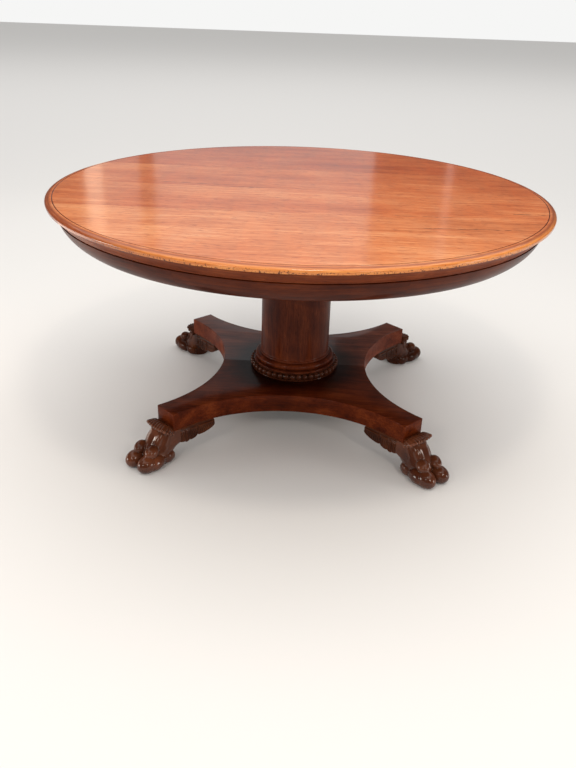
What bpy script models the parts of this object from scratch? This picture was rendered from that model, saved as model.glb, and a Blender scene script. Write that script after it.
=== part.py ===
"""Round pedestal table: tilting mahogany top, plain column, concave platform, four carved paw feet.

Units are metres, +Z is up. The origin is on the floor, on the column's axis. The front is -Y, and the
boards of the top run along X. The four arms of the platform point along the diagonals.
"""
import bpy
import bmesh
from math import cos, sin, pi, radians, sqrt, asin
from mathutils import Matrix, Vector

# ---- driving dimensions ---------------------------------------------------------------------------
TABLE_HEIGHT = 0.736
TOP_RADIUS = 0.745
BOARD_THICKNESS = 0.0156
THUMB_INSET = 0.0195            # width of the rounded edge on the face of the top
THUMB_DROP = 0.0085             # how far that edge falls
BOARD_SEAMS = (-0.285, 0.0, 0.290)

RIM_UNDERCUT = 0.0009           # the edge of the boards leans in a little towards its underside
COVE_DEPTH = 0.0303             # height of the cove and fillet under the boards
FILLET_HEIGHT = 0.0054
FRIEZE_BOTTOM = 0.6355
FRIEZE_INNER_RADIUS = 0.650
FRIEZE_FACE_RADIUS = 0.0927     # radius of the swell in the face of the frieze
FRIEZE_FACE_CENTRE = (0.6268, 0.7141)

COLUMN_RADIUS = 0.1116
COLUMN_TENON_RADIUS = 0.0950
TORUS_TOP = 0.2047
TORUS_RADIUS = 0.1295
COLLAR_TOP = 0.1776
COLLAR_RADIUS = 0.1462

PLATFORM_TOP = 0.1544
PLATFORM_THICKNESS = 0.0565
ARM_REACH = 0.5194              # from the axis to the flat end of an arm
ARM_HALF_WIDTH = 0.0409
WAIST_RADIUS = 0.2383           # from the axis to the middle of a concave side

TOE_REACH = 0.6530
PAW_HALF_WIDTH = 0.0540
FOOT_BACK = 0.4958
BRACKET_THICKNESS = 0.0260
FOOT_SCREW = {"shank": 0.0040, "head": 0.0078, "length": 0.0550}
FOOT_SCREW_DISTANCE = 0.4550    # from the axis, along an arm
FOOT_SCREW_HEAD_Z = 0.0744

BLOCK_HALF_WIDTH = 0.1700
BLOCK_THICKNESS = 0.0600
BLOCK_BACK = 0.2500
PIVOT_Y = -0.2500
PIVOT_RADIUS = 0.0090
BEARER_WIDTH = 0.0450
BEARER_HALF_LENGTH = 0.6000
BEARER_SCREW_Y = (-0.45, -0.14, 0.15, 0.45)
BEARER_SCREW = {"shank": 0.0024, "head": 0.0055, "length": 0.0680}

TIE_BOLT_RADIUS = 0.0080
CATCH_ROD_RADIUS = 0.0040

GAP = 0.0003                    # clearance between touching pieces
HOLE_GAP = 0.0005               # extra radius of a faceted hole over what is in it

BOARD_UNDERSIDE = TABLE_HEIGHT - BOARD_THICKNESS
PLATFORM_UNDERSIDE = PLATFORM_TOP - PLATFORM_THICKNESS
FRIEZE_TOP = BOARD_UNDERSIDE - GAP - COVE_DEPTH - GAP
BLOCK_TOP = BOARD_UNDERSIDE - GAP
BLOCK_BOTTOM = BLOCK_TOP - BLOCK_THICKNESS
PIVOT_Z = BLOCK_TOP - BLOCK_THICKNESS / 2
BEARER_MIDDLE = BLOCK_HALF_WIDTH + HOLE_GAP + BEARER_WIDTH / 2
CATCH_Z = BOARD_UNDERSIDE - 0.0124
ARM_ANGLES = {"front_right": -45, "back_right": 45, "back_left": 135, "front_left": 225}

RING_STEPS = 80                 # facets round the top
COLUMN_STEPS = 36


# ---- scene and materials --------------------------------------------------------------------------
for leftover in list(bpy.data.objects):
    bpy.data.objects.remove(leftover)

table_parts = bpy.data.collections.new("round_pedestal_table")
cutters = bpy.data.collections.new("cutters")
bpy.context.scene.collection.children.link(table_parts)
bpy.context.scene.collection.children.link(cutters)


def make_material(name, colour, roughness, metallic=0.0):
    material = bpy.data.materials.new(name)
    material.use_nodes = True
    shader = material.node_tree.nodes["Principled BSDF"]
    shader.inputs["Base Color"].default_value = (*colour, 1.0)
    shader.inputs["Roughness"].default_value = roughness
    shader.inputs["Metallic"].default_value = metallic
    return material


TOP_MAHOGANY = make_material("top_mahogany", (0.52, 0.20, 0.075), 0.22)
FRIEZE_MAHOGANY = make_material("frieze_mahogany", (0.15, 0.045, 0.018), 0.28)
DARK_MAHOGANY = make_material("dark_mahogany", (0.085, 0.026, 0.012), 0.30)
CARVED_MAHOGANY = make_material("carved_mahogany", (0.10, 0.032, 0.016), 0.24)
PLAIN_TIMBER = make_material("plain_timber", (0.26, 0.16, 0.085), 0.65)
BRASS = make_material("brass", (0.60, 0.43, 0.17), 0.35, 1.0)
STEEL = make_material("steel", (0.35, 0.34, 0.33), 0.45, 1.0)


# ---- helpers --------------------------------------------------------------------------------------
def add_object(name, mesh, material=None, collection=table_parts):
    piece = bpy.data.objects.new(name, mesh)
    collection.objects.link(piece)
    if material and not mesh.materials:
        mesh.materials.append(material)
    return piece


def as_cutter(piece):
    piece.hide_render = True
    piece.display_type = "WIRE"
    return piece


def cutter_from(name, mesh):
    return as_cutter(add_object(name, mesh, collection=cutters))


def mesh_from(builder, name):
    """A new mesh filled by builder(bm)."""
    bm = bmesh.new()
    builder(bm)
    bmesh.ops.recalc_face_normals(bm, faces=bm.faces)
    mesh = bpy.data.meshes.new(name)
    bm.to_mesh(mesh)
    bm.free()
    return mesh


def box_mesh(name, low, high):
    size = [b - a for a, b in zip(low, high)]
    middle = [(a + b) / 2 for a, b in zip(low, high)]
    place = Matrix.Translation(middle) @ Matrix.Diagonal((*size, 1.0))
    return mesh_from(lambda bm: bmesh.ops.create_cube(bm, size=1.0, matrix=place), name)


def rod_mesh(name, radius, start, end, sides=16):
    """A straight round bar between two points."""
    start, end = Vector(start), Vector(end)
    turn = (end - start).to_track_quat("Z", "Y").to_matrix().to_4x4()
    place = Matrix.Translation((start + end) / 2) @ turn
    return mesh_from(lambda bm: bmesh.ops.create_cone(
        bm, cap_ends=True, segments=sides, radius1=radius, radius2=radius,
        depth=(end - start).length, matrix=place), name)


def ellipsoid_mesh(name, centre, radii, lean=0.0, sides=10, rows=6):
    place = Matrix.Translation(centre) @ Matrix.Rotation(lean, 4, "Y") @ Matrix.Diagonal((*radii, 1.0))
    return mesh_from(lambda bm: bmesh.ops.create_uvsphere(
        bm, u_segments=sides, v_segments=rows, radius=1.0, matrix=place), name)


def turned_piece(name, profile, material, steps, closed=False, collection=table_parts):
    """A profile of (radius, height), outer side running down, swept round the Z axis."""
    count = len(profile)
    edges = [(i, i + 1) for i in range(count - 1)]
    if closed:
        edges.append((count - 1, 0))
    mesh = bpy.data.meshes.new(name)
    mesh.from_pydata([(r, 0.0, z) for r, z in profile], edges, [])
    piece = add_object(name, mesh, material, collection)
    screw = piece.modifiers.new("turn", "SCREW")
    screw.steps = steps
    screw.render_steps = steps
    screw.use_merge_vertices = True
    screw.merge_threshold = 0.0001
    return piece


def ring_segment_mesh(name, profile, start_angle, end_angle, steps):
    """One curved block: a filled section of (radius, height) spun about the Z axis."""
    def build(bm):
        turn = Matrix.Rotation(start_angle, 4, "Z")
        section = bm.faces.new([bm.verts.new(turn @ Vector((r, 0.0, z))) for r, z in profile])
        bmesh.ops.spin(bm, geom=[section], cent=(0, 0, 0), axis=(0, 0, 1),
                       angle=end_angle - start_angle, steps=steps)
    return mesh_from(build, name)


def flat_piece_mesh(name, outline, low, high):
    """A flat outline of (x, y) points, given thickness from height low to height high."""
    curve = bpy.data.curves.new(name, "CURVE")
    curve.dimensions = "2D"
    curve.fill_mode = "BOTH"
    curve.extrude = (high - low) / 2
    spline = curve.splines.new("POLY")
    spline.points.add(len(outline) - 1)
    for point, (x, y) in zip(spline.points, outline):
        point.co = (x, y, 0.0, 1.0)
    spline.use_cyclic_u = True
    guide = bpy.data.objects.new(name + "_outline", curve)
    cutters.objects.link(guide)
    mesh = baked_mesh(guide, name)
    bm = bmesh.new()
    bm.from_mesh(mesh)
    bmesh.ops.remove_doubles(bm, verts=bm.verts, dist=0.00001)
    bmesh.ops.translate(bm, verts=bm.verts, vec=(0, 0, (low + high) / 2))
    bmesh.ops.recalc_face_normals(bm, faces=bm.faces)
    bm.to_mesh(mesh)
    bm.free()
    return mesh


def baked_mesh(piece, name):
    """The piece's mesh with its modifiers, and the piece itself taken away."""
    bpy.context.view_layer.update()
    evaluated = piece.evaluated_get(bpy.context.evaluated_depsgraph_get())
    mesh = bpy.data.meshes.new_from_object(evaluated)
    mesh.name = name
    bpy.data.objects.remove(piece)
    return mesh


def combine(piece, tool, operation):
    boolean = piece.modifiers.new(operation.lower(), "BOOLEAN")
    boolean.operation = operation
    boolean.object = tool
    return boolean


def smooth(piece, angle=35):
    piece.data.shade_smooth()
    piece.data.set_sharp_from_angle(angle=radians(angle))


# ---- top: boards, cove, frieze --------------------------------------------------------------------
def board_profile():
    """Half section of the whole top, from the axis over the thumb edge and back under."""
    inner = TOP_RADIUS - THUMB_INSET
    quarter = [radians(a) for a in (0, 30, 55, 75, 90)]
    edge = [(inner + THUMB_INSET * sin(a), TABLE_HEIGHT - THUMB_DROP * (1 - cos(a))) for a in quarter]
    return [(0.0, TABLE_HEIGHT), *edge, (TOP_RADIUS - RIM_UNDERCUT, BOARD_UNDERSIDE), (0.0, BOARD_UNDERSIDE)]


def make_boards():
    limits = [-TOP_RADIUS - 0.01, *BOARD_SEAMS, TOP_RADIUS + 0.01]
    reach = TOP_RADIUS + 0.01
    for number, (low, high) in enumerate(zip(limits, limits[1:]), 1):
        board = turned_piece(f"top_board_{number}", board_profile(), TOP_MAHOGANY, RING_STEPS)
        strip = box_mesh("board_strip", (-reach, low + GAP / 2, 0.6), (reach, high - GAP / 2, 0.8))
        combine(board, cutter_from(f"board_strip_{number}", strip), "INTERSECT")
        for side in (-1, 1):
            for y in BEARER_SCREW_Y:
                if low < y < high:
                    x = side * BEARER_MIDDLE
                    hole = rod_mesh("board_screw_hole", 0.0020 + HOLE_GAP,
                                    (x, y, BOARD_UNDERSIDE - 0.004), (x, y, BOARD_UNDERSIDE + 0.0098), 10)
                    combine(board, cutter_from(f"board_screw_hole_{number}_{side}", hole), "DIFFERENCE")


def cove_profile():
    """Section of the moulding under the boards: a hollow, then a narrow fillet."""
    top = BOARD_UNDERSIDE - GAP
    bottom = top - COVE_DEPTH
    lip, foot = TOP_RADIUS - 0.0075, 0.7165
    cove_height = COVE_DEPTH - FILLET_HEIGHT
    hollow = [(lip - (lip - foot) * sin(a), top - 0.0015 - (cove_height - 0.0015) * (1 - cos(a)))
              for a in [radians(d) for d in (0, 30, 60, 90)]]
    fillet = foot - 0.0020
    return [(FRIEZE_INNER_RADIUS, top), (lip, top), *hollow, (fillet, top - cove_height - 0.0006),
            (fillet, bottom), (FRIEZE_INNER_RADIUS, bottom)]


def frieze_profile():
    """Section of the frieze: a flat back and a face that swells out towards its top."""
    centre_r, centre_z = FRIEZE_FACE_CENTRE
    first = asin((centre_z - FRIEZE_TOP) / FRIEZE_FACE_RADIUS)
    last = asin((centre_z - FRIEZE_BOTTOM) / FRIEZE_FACE_RADIUS)
    steps = 6
    face = []
    for i in range(steps + 1):
        a = first + (last - first) * i / steps
        face.append((centre_r + FRIEZE_FACE_RADIUS * cos(a), centre_z - FRIEZE_FACE_RADIUS * sin(a)))
    return [(FRIEZE_INNER_RADIUS, FRIEZE_TOP), *face, (FRIEZE_INNER_RADIUS, FRIEZE_BOTTOM)]


def make_ring(prefix, profile, count, steps, material, first_joint):
    """A ring built from curved blocks that meet end to end."""
    gap_angle = GAP / 0.7
    for number in range(count):
        start = first_joint + 2 * pi * number / count + gap_angle / 2
        end = first_joint + 2 * pi * (number + 1) / count - gap_angle / 2
        name = f"{prefix}_{number + 1}"
        smooth(add_object(name, ring_segment_mesh(name, profile, start, end, steps), material))


# ---- tilting gear under the top -------------------------------------------------------------------
def countersunk_profile(shank, head, length, under):
    """Half section of a wood screw whose head faces down, its head's face at height under."""
    return [(0.0, under + length), (shank * 0.5, under + length), (shank, under + length * 0.75),
            (shank, under + head - shank), (head, under), (0.0, under)]


def countersunk_hole_profile(shank, head, length, under):
    """The hole for that screw: a little wider and longer, and open below the head."""
    wide, sink = shank + HOLE_GAP, head + 0.0009
    return [(0.0, under + length + GAP), (shank * 0.5 + HOLE_GAP, under + length + GAP),
            (wide, under + length * 0.75), (wide, under + head - shank), (sink, under - 0.0002),
            (sink, under - 0.0020), (0.0, under - 0.0020)]


def make_bearers():
    head_face = BLOCK_BOTTOM + 0.0010
    for side, word in ((-1, "left"), (1, "right")):
        x = side * BEARER_MIDDLE
        half = BEARER_WIDTH / 2
        bearer = add_object(f"bearer_{word}", box_mesh(
            f"bearer_{word}", (x - half, -BEARER_HALF_LENGTH, BLOCK_BOTTOM),
            (x + half, BEARER_HALF_LENGTH, BLOCK_TOP)), PLAIN_TIMBER)
        for end in (-1, 1):
            nose = box_mesh("bearer_end", (x - 0.03, -0.05, -0.04), (x + 0.03, 0.05, 0.0))
            slope = cutter_from(f"bearer_end_{word}_{end}", nose)
            slope.location = (0, end * (BEARER_HALF_LENGTH - 0.02), BLOCK_BOTTOM + 0.008)
            slope.rotation_euler = (radians(end * 28), 0, 0)
            combine(bearer, slope, "DIFFERENCE")
        pin_hole = rod_mesh("pin_hole", PIVOT_RADIUS + HOLE_GAP, (x - 0.03, PIVOT_Y, PIVOT_Z),
                            (x + 0.03, PIVOT_Y, PIVOT_Z), 20)
        combine(bearer, cutter_from(f"pin_hole_{word}", pin_hole), "DIFFERENCE")
        for number, y in enumerate(BEARER_SCREW_Y, 1):
            profile = countersunk_profile(**BEARER_SCREW, under=head_face)
            screw = turned_piece(f"bearer_screw_{word}_{number}", profile, STEEL, 10)
            screw.location = (x, y, 0)
            wider = countersunk_hole_profile(**BEARER_SCREW, under=head_face)
            hole = turned_piece(f"screw_hole_{word}_{number}", wider, None, 10, collection=cutters)
            hole.location = (x, y, 0)
            combine(bearer, as_cutter(hole), "DIFFERENCE")
        inner_end = side * (BLOCK_HALF_WIDTH - 0.035)
        outer_end = side * (BLOCK_HALF_WIDTH + BEARER_WIDTH)
        pin = rod_mesh(f"pivot_pin_{word}", PIVOT_RADIUS, (inner_end, PIVOT_Y, PIVOT_Z),
                       (outer_end, PIVOT_Y, PIVOT_Z), 20)
        smooth(add_object(f"pivot_pin_{word}", pin, STEEL))


def make_tilt_block():
    """The bed on the column. Its front edge is rounded about the pivot so that the top can swing past."""
    nose = BLOCK_THICKNESS / 2
    outline = [(BLOCK_BACK, -nose), (BLOCK_BACK, nose)]
    outline += [(PIVOT_Y + nose * cos(radians(a)), nose * sin(radians(a))) for a in range(90, 271, 18)]
    block_mesh = flat_piece_mesh("tilt_block", outline, -BLOCK_HALF_WIDTH, BLOCK_HALF_WIDTH)
    on_its_side = Matrix(((0, 0, 1, 0), (1, 0, 0, 0), (0, 1, 0, 0), (0, 0, 0, 1)))
    block_mesh.transform(Matrix.Translation((0, 0, PIVOT_Z)) @ on_its_side)
    block = add_object("tilt_block", block_mesh, DARK_MAHOGANY)
    for side, word in ((-1, "left"), (1, "right")):
        socket = rod_mesh("socket", PIVOT_RADIUS + HOLE_GAP,
                          (side * (BLOCK_HALF_WIDTH - 0.036), PIVOT_Y, PIVOT_Z),
                          (side * (BLOCK_HALF_WIDTH + 0.01), PIVOT_Y, PIVOT_Z), 20)
        combine(block, cutter_from(f"pivot_socket_{word}", socket), "DIFFERENCE")
    bore = rod_mesh("bolt_bore", TIE_BOLT_RADIUS + HOLE_GAP, (0, 0, BLOCK_BOTTOM - 0.01),
                    (0, 0, BLOCK_TOP + 0.01))
    recess = rod_mesh("bolt_recess", 0.0200, (0, 0, BLOCK_TOP - 0.0135), (0, 0, BLOCK_TOP + 0.01), 20)
    bolt_end = rod_mesh("catch_hole", CATCH_ROD_RADIUS + 0.0012, (0, BLOCK_BACK - 0.018, CATCH_Z),
                        (0, BLOCK_BACK + 0.01, CATCH_Z), 12)
    for name, mesh in (("bolt_bore", bore), ("bolt_recess", recess), ("catch_hole", bolt_end)):
        combine(block, cutter_from(name, mesh), "DIFFERENCE")


def make_catch():
    """A brass bolt under the top that slides into a keeper on the back of the block."""
    z = CATCH_Z
    keeper_back = BLOCK_BACK + GAP + 0.0025
    keeper = add_object("catch_keeper", box_mesh(
        "catch_keeper", (-0.020, BLOCK_BACK + GAP, z - 0.020), (0.020, keeper_back, z + 0.0095)), BRASS)
    hole = rod_mesh("keeper_hole", CATCH_ROD_RADIUS + 0.0010, (0, BLOCK_BACK - 0.01, z),
                    (0, keeper_back + 0.01, z), 12)
    combine(keeper, cutter_from("keeper_hole", hole), "DIFFERENCE")

    plate_top = BOARD_UNDERSIDE - GAP
    plate = add_object("catch_plate", box_mesh(
        "catch_plate", (-0.0150, 0.2600, plate_top - 0.0025), (0.0150, 0.3200, plate_top)), BRASS)
    for number, y in enumerate((0.2680, 0.3040), 1):
        lug = box_mesh("lug", (-0.0085, y - 0.0040, z - 0.0072), (0.0085, y + 0.0040, plate_top - 0.0015))
        combine(plate, cutter_from(f"catch_lug_{number}", lug), "UNION")
    way = rod_mesh("bolt_way", CATCH_ROD_RADIUS + HOLE_GAP, (0, 0.25, z), (0, 0.33, z), 12)
    combine(plate, cutter_from("bolt_way", way), "DIFFERENCE")

    rod_start = keeper_back + 0.0022
    bolt = add_object("catch_bolt", rod_mesh(
        "catch_bolt", CATCH_ROD_RADIUS, (0, rod_start, z), (0, rod_start + 0.064, z), 12), BRASS)
    knob_y = 0.2940
    stem = rod_mesh("knob_stem", 0.0030, (0, knob_y, z - 0.016), (0, knob_y, z), 10)
    ball = ellipsoid_mesh("knob_ball", (0, knob_y, z - 0.0175), (0.0068, 0.0068, 0.0068))
    combine(bolt, cutter_from("knob_stem", stem), "UNION")
    combine(bolt, cutter_from("knob_ball", ball), "UNION")


# ---- column and its mouldings ---------------------------------------------------------------------
def make_column():
    bore = TIE_BOLT_RADIUS + HOLE_GAP
    top = BLOCK_BOTTOM - GAP
    floor = PLATFORM_TOP + GAP
    shaft = turned_piece("column_shaft", [
        (bore, top), (COLUMN_RADIUS, top), (COLUMN_RADIUS, TORUS_TOP), (COLUMN_TENON_RADIUS, TORUS_TOP),
        (COLUMN_TENON_RADIUS, floor), (bore, floor)], DARK_MAHOGANY, COLUMN_STEPS, closed=True)
    smooth(shaft)

    ring_bore = COLUMN_TENON_RADIUS + HOLE_GAP
    torus_top = TORUS_TOP - GAP
    torus_bottom = COLLAR_TOP + GAP
    half_height = (torus_top - torus_bottom) / 2
    middle = (torus_top + torus_bottom) / 2
    swell = TORUS_RADIUS - COLUMN_RADIUS - 0.004
    round_face = [(COLUMN_RADIUS + 0.004 + swell * cos(a), middle + half_height * sin(a))
                  for a in [radians(d) for d in (90, 45, 0, -45, -90)]]
    smooth(turned_piece("torus_moulding", [(ring_bore, torus_top), *round_face, (ring_bore, torus_bottom)],
                        DARK_MAHOGANY, COLUMN_STEPS, closed=True))

    collar_bottom = PLATFORM_TOP + GAP
    bead = (COLLAR_TOP - collar_bottom) / 2
    bead_face = [(COLLAR_RADIUS - bead + bead * cos(a), collar_bottom + bead + bead * sin(a))
                 for a in [radians(d) for d in (90, 45, 0, -45, -90)]]
    smooth(turned_piece("beaded_collar", [(ring_bore, COLLAR_TOP), *bead_face, (ring_bore, collar_bottom)],
                        CARVED_MAHOGANY, COLUMN_STEPS, closed=True))


def make_tie_bolt():
    """The long bolt that draws block, column and platform together."""
    head_top = BLOCK_TOP - 0.0030
    head_bottom = BLOCK_TOP - 0.0130
    tip = PLATFORM_UNDERSIDE - 0.0220
    smooth(turned_piece("tie_bolt", [
        (0.0, head_top), (0.0160, head_top), (0.0160, head_bottom), (TIE_BOLT_RADIUS, head_bottom),
        (TIE_BOLT_RADIUS, tip), (0.0, tip)], STEEL, 16))
    washer_top = PLATFORM_UNDERSIDE - GAP
    washer_bottom = washer_top - 0.0040
    bore = TIE_BOLT_RADIUS + HOLE_GAP
    smooth(turned_piece("tie_bolt_washer", [
        (bore, washer_top), (0.0350, washer_top), (0.0350, washer_bottom), (bore, washer_bottom)],
        STEEL, 24, closed=True))
    nut_top = washer_bottom - GAP
    nut = add_object("tie_bolt_nut", rod_mesh(
        "tie_bolt_nut", 0.0160, (0, 0, nut_top - 0.0120), (0, 0, nut_top), 6), STEEL)
    thread = rod_mesh("nut_bore", bore, (0, 0, nut_top - 0.02), (0, 0, nut_top + 0.01))
    combine(nut, cutter_from("nut_bore", thread), "DIFFERENCE")


# ---- platform -------------------------------------------------------------------------------------
def concave_circle():
    """Distance of the centre and radius of the circle that cuts each concave side of the platform."""
    corner_x = (ARM_REACH - ARM_HALF_WIDTH) / sqrt(2)
    corner_y = (ARM_REACH + ARM_HALF_WIDTH) / sqrt(2)
    distance = (corner_x ** 2 + corner_y ** 2 - WAIST_RADIUS ** 2) / (2 * (corner_y - WAIST_RADIUS))
    return distance, distance - WAIST_RADIUS


def concave_side(facing, steps, first, last):
    """Points along a concave side. facing is its outward direction, and -1 to 1 runs it end to end."""
    distance, radius = concave_circle()
    half_angle = asin((ARM_REACH - ARM_HALF_WIDTH) / sqrt(2) / radius)
    centre = Vector((cos(facing), sin(facing))) * distance
    points = []
    for i in range(steps + 1):
        a = facing + pi - half_angle * (first + (last - first) * i / steps)
        points.append((centre.x + radius * cos(a), centre.y + radius * sin(a)))
    return points


def make_platform():
    """Two halves that meet along X, each with one whole and two half concave sides."""
    bore = TIE_BOLT_RADIUS + HOLE_GAP
    for word, middle in (("front", radians(-90)), ("back", radians(90))):
        outline = concave_side(middle - pi / 2, 8, 0, 1)
        outline += concave_side(middle, 16, -1, 1)
        outline += concave_side(middle + pi / 2, 8, -1, 0)
        into = 1 if word == "back" else -1
        outline[0] = (outline[0][0], into * GAP / 2)
        outline[-1] = (outline[-1][0], into * GAP / 2)
        end_side = 1 if outline[-1][0] > 0 else -1
        for a in range(0, 181, 30):
            outline.append((end_side * bore * cos(radians(a)), into * (GAP / 2 + bore * sin(radians(a)))))
        name = f"platform_{word}"
        slab = flat_piece_mesh(name, outline, PLATFORM_UNDERSIDE, PLATFORM_TOP)
        half = add_object(name, slab, DARK_MAHOGANY)
        for arm, angle in ARM_ANGLES.items():
            if arm.startswith(word):
                place = Matrix.Rotation(radians(angle), 3, "Z") @ Vector((FOOT_SCREW_DISTANCE, 0, 0))
                hole = rod_mesh("foot_screw_hole", FOOT_SCREW["shank"] + HOLE_GAP,
                                place + Vector((0, 0, PLATFORM_UNDERSIDE - 0.01)),
                                place + Vector((0, 0, PLATFORM_UNDERSIDE + 0.0365)), 10)
                combine(half, cutter_from(f"foot_screw_hole_{arm}", hole), "DIFFERENCE")
    for side, word in ((-1, "left"), (1, "right")):
        x = side * 0.165
        batten = box_mesh("platform_batten", (x - 0.03, -0.20, PLATFORM_UNDERSIDE - GAP - 0.018),
                          (x + 0.03, 0.20, PLATFORM_UNDERSIDE - GAP))
        piece = add_object(f"platform_batten_{word}", batten, PLAIN_TIMBER)
        chamfer = piece.modifiers.new("chamfer", "BEVEL")
        chamfer.width = 0.003
        chamfer.segments = 1


# ---- paw feet and leaf brackets -------------------------------------------------------------------
def ankle_mesh():
    """Stacked oval sections: height, middle and half length along the arm, half width."""
    sections = (
        (0.0000, 0.5900, 0.0450, 0.0400), (0.0120, 0.5800, 0.0480, 0.0430), (0.0300, 0.5710, 0.0500, 0.0410),
        (0.0500, 0.5580, 0.0420, 0.0350), (0.0700, 0.5440, 0.0370, 0.0310), (0.0850, 0.5330, 0.0340, 0.0320),
        (PLATFORM_UNDERSIDE - GAP, 0.5290, 0.0330, 0.0360))

    def build(bm):
        ring = bmesh.ops.create_circle(bm, cap_ends=False, radius=1.0, segments=16)["verts"]
        place_ring(ring, sections[0])
        edges = list({edge for vert in ring for edge in vert.link_edges})
        bmesh.ops.contextual_create(bm, geom=edges)
        for section in sections[1:]:
            grown = bmesh.ops.extrude_edge_only(bm, edges=edges)["geom"]
            verts = [item for item in grown if isinstance(item, bmesh.types.BMVert)]
            edges = [item for item in grown if isinstance(item, bmesh.types.BMEdge)]
            unit_ring(verts)
            place_ring(verts, section)
        bmesh.ops.contextual_create(bm, geom=edges)

    def unit_ring(verts):
        middle = sum((v.co for v in verts), Vector()) / len(verts)
        spread_x = max(abs(v.co.x - middle.x) for v in verts)
        spread_y = max(abs(v.co.y - middle.y) for v in verts)
        for v in verts:
            v.co = ((v.co.x - middle.x) / spread_x, (v.co.y - middle.y) / spread_y, 0.0)

    def place_ring(verts, section):
        height, middle, half_length, half_width = section
        for v in verts:
            v.co = (middle + v.co.x * half_length, v.co.y * half_width, height)

    return mesh_from(build, "paw_foot")


def paw_foot_mesh():
    """One foot, pointing along +X from the axis: ankle, cuff, knuckles, toes and heel pads."""
    foot = add_object("paw_foot_shape", ankle_mesh(), CARVED_MAHOGANY, cutters)
    tools = []

    def join(name, mesh, operation="UNION"):
        tool = cutter_from(name, mesh)
        combine(foot, tool, operation)
        tools.append(tool)

    toe_length = 0.0350
    for side in (-1, 1):
        for name, centre, radii in (
                ("knuckle", (0.6020, 0.0235, 0.0540), (0.0240, 0.0215, 0.0220)),
                ("toe", (TOE_REACH - toe_length, PAW_HALF_WIDTH - 0.0275, 0.0250),
                 (toe_length, 0.0275, 0.0280)),
                ("heel_pad", (0.5560, 0.0330, 0.0170), (0.0250, 0.0170, 0.0200))):
            out, sideways, height = centre
            join(name, ellipsoid_mesh(name, (out, side * sideways, height), radii))

    tilt = Matrix.Translation((0.5240, 0, 0.1060)) @ Matrix.Rotation(radians(-18), 4, "Y")
    cuff = turned_piece("cuff", [(0.0365 + 0.0100 * cos(radians(a)), 0.0105 * sin(radians(a)))
                                 for a in range(180, -180, -60)], None, 16, closed=True, collection=cutters)
    cuff_mesh = baked_mesh(cuff, "cuff")
    cuff_mesh.transform(tilt)
    join("cuff", cuff_mesh)
    join("crown", ellipsoid_mesh("crown", (0.5240, 0, 0.1030), (0.0360, 0.0360, 0.0110), radians(-18)))

    under_arm = PLATFORM_UNDERSIDE - GAP
    for name, low, high in (("arm_space", (0.40, -0.1, under_arm), (ARM_REACH + GAP, 0.1, 0.2)),
                            ("behind", (0.40, -0.1, -0.05), (FOOT_BACK, 0.1, 0.2)),
                            ("floor", (0.40, -0.1, -0.05), (0.75, 0.1, 0.0))):
        join(name, box_mesh(name, low, high), "DIFFERENCE")
    join("tongue", box_mesh("tongue", (0.4350, -0.0120, 0.0740), (0.5150, 0.0120, under_arm - 0.00001)))
    x = FOOT_SCREW_DISTANCE
    hole = rod_mesh("screw_way", FOOT_SCREW["shank"] + HOLE_GAP, (x, 0, 0.06), (x, 0, 0.12), 10)
    join("screw_way", hole, "DIFFERENCE")
    sink = rod_mesh("screw_sink", 0.0085, (x, 0, 0.06), (x, 0, 0.0786), 12)
    join("screw_sink", sink, "DIFFERENCE")

    mesh = baked_mesh(foot, "paw_foot")
    for tool in tools:
        bpy.data.objects.remove(tool)
    mesh.shade_smooth()
    mesh.set_sharp_from_angle(angle=radians(40))
    return mesh


def leaf_outline():
    """Side view of a bracket: three lobes that deepen towards the foot."""
    under_arm = PLATFORM_UNDERSIDE - GAP
    lobes = (((0.3920, 0.0840), (0.0270, 0.0155), 170, 290), ((0.4420, 0.0590), (0.0150, 0.0115), 200, 305),
             ((0.4720, 0.0560), (0.0130, 0.0110), 215, 290))
    points = [(FOOT_BACK - GAP, under_arm), (0.3800, under_arm)]
    for (x, z), (half_length, half_height), start, end in lobes:
        for i in range(5):
            a = radians(start + (end - start) * i / 4)
            points.append((x + half_length * cos(a), z + half_height * sin(a)))
    points.append((FOOT_BACK - GAP, 0.0500))
    return points


def leaf_bracket_mesh(side):
    """A leaf cut from a board that follows the concave edge of the arm pointing along +X."""
    leaf = flat_piece_mesh("leaf_bracket", leaf_outline(), 0.0, 0.16)
    stand_up = Matrix(((1, 0, 0, 0), (0, 0, side, 0), (0, 1, 0, 0), (0, 0, 0, 1)))
    leaf.transform(stand_up)
    if side > 0:
        leaf.flip_normals()
    piece = add_object("leaf_shape", leaf, CARVED_MAHOGANY, cutters)
    distance, radius = concave_circle()
    centre = Vector((distance / sqrt(2), side * distance / sqrt(2), 0))
    outer = cutter_from("wall_outer", rod_mesh("wall_outer", radius + BRACKET_THICKNESS,
                                               centre, centre + Vector((0, 0, 0.2)), 96))
    inner = cutter_from("wall_inner", rod_mesh("wall_inner", radius, centre - Vector((0, 0, 0.01)),
                                               centre + Vector((0, 0, 0.21)), 96))
    combine(piece, outer, "INTERSECT")
    combine(piece, inner, "DIFFERENCE")
    mesh = baked_mesh(piece, f"leaf_bracket_{'left' if side > 0 else 'right'}_hand")
    bpy.data.objects.remove(outer)
    bpy.data.objects.remove(inner)
    return mesh


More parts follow.
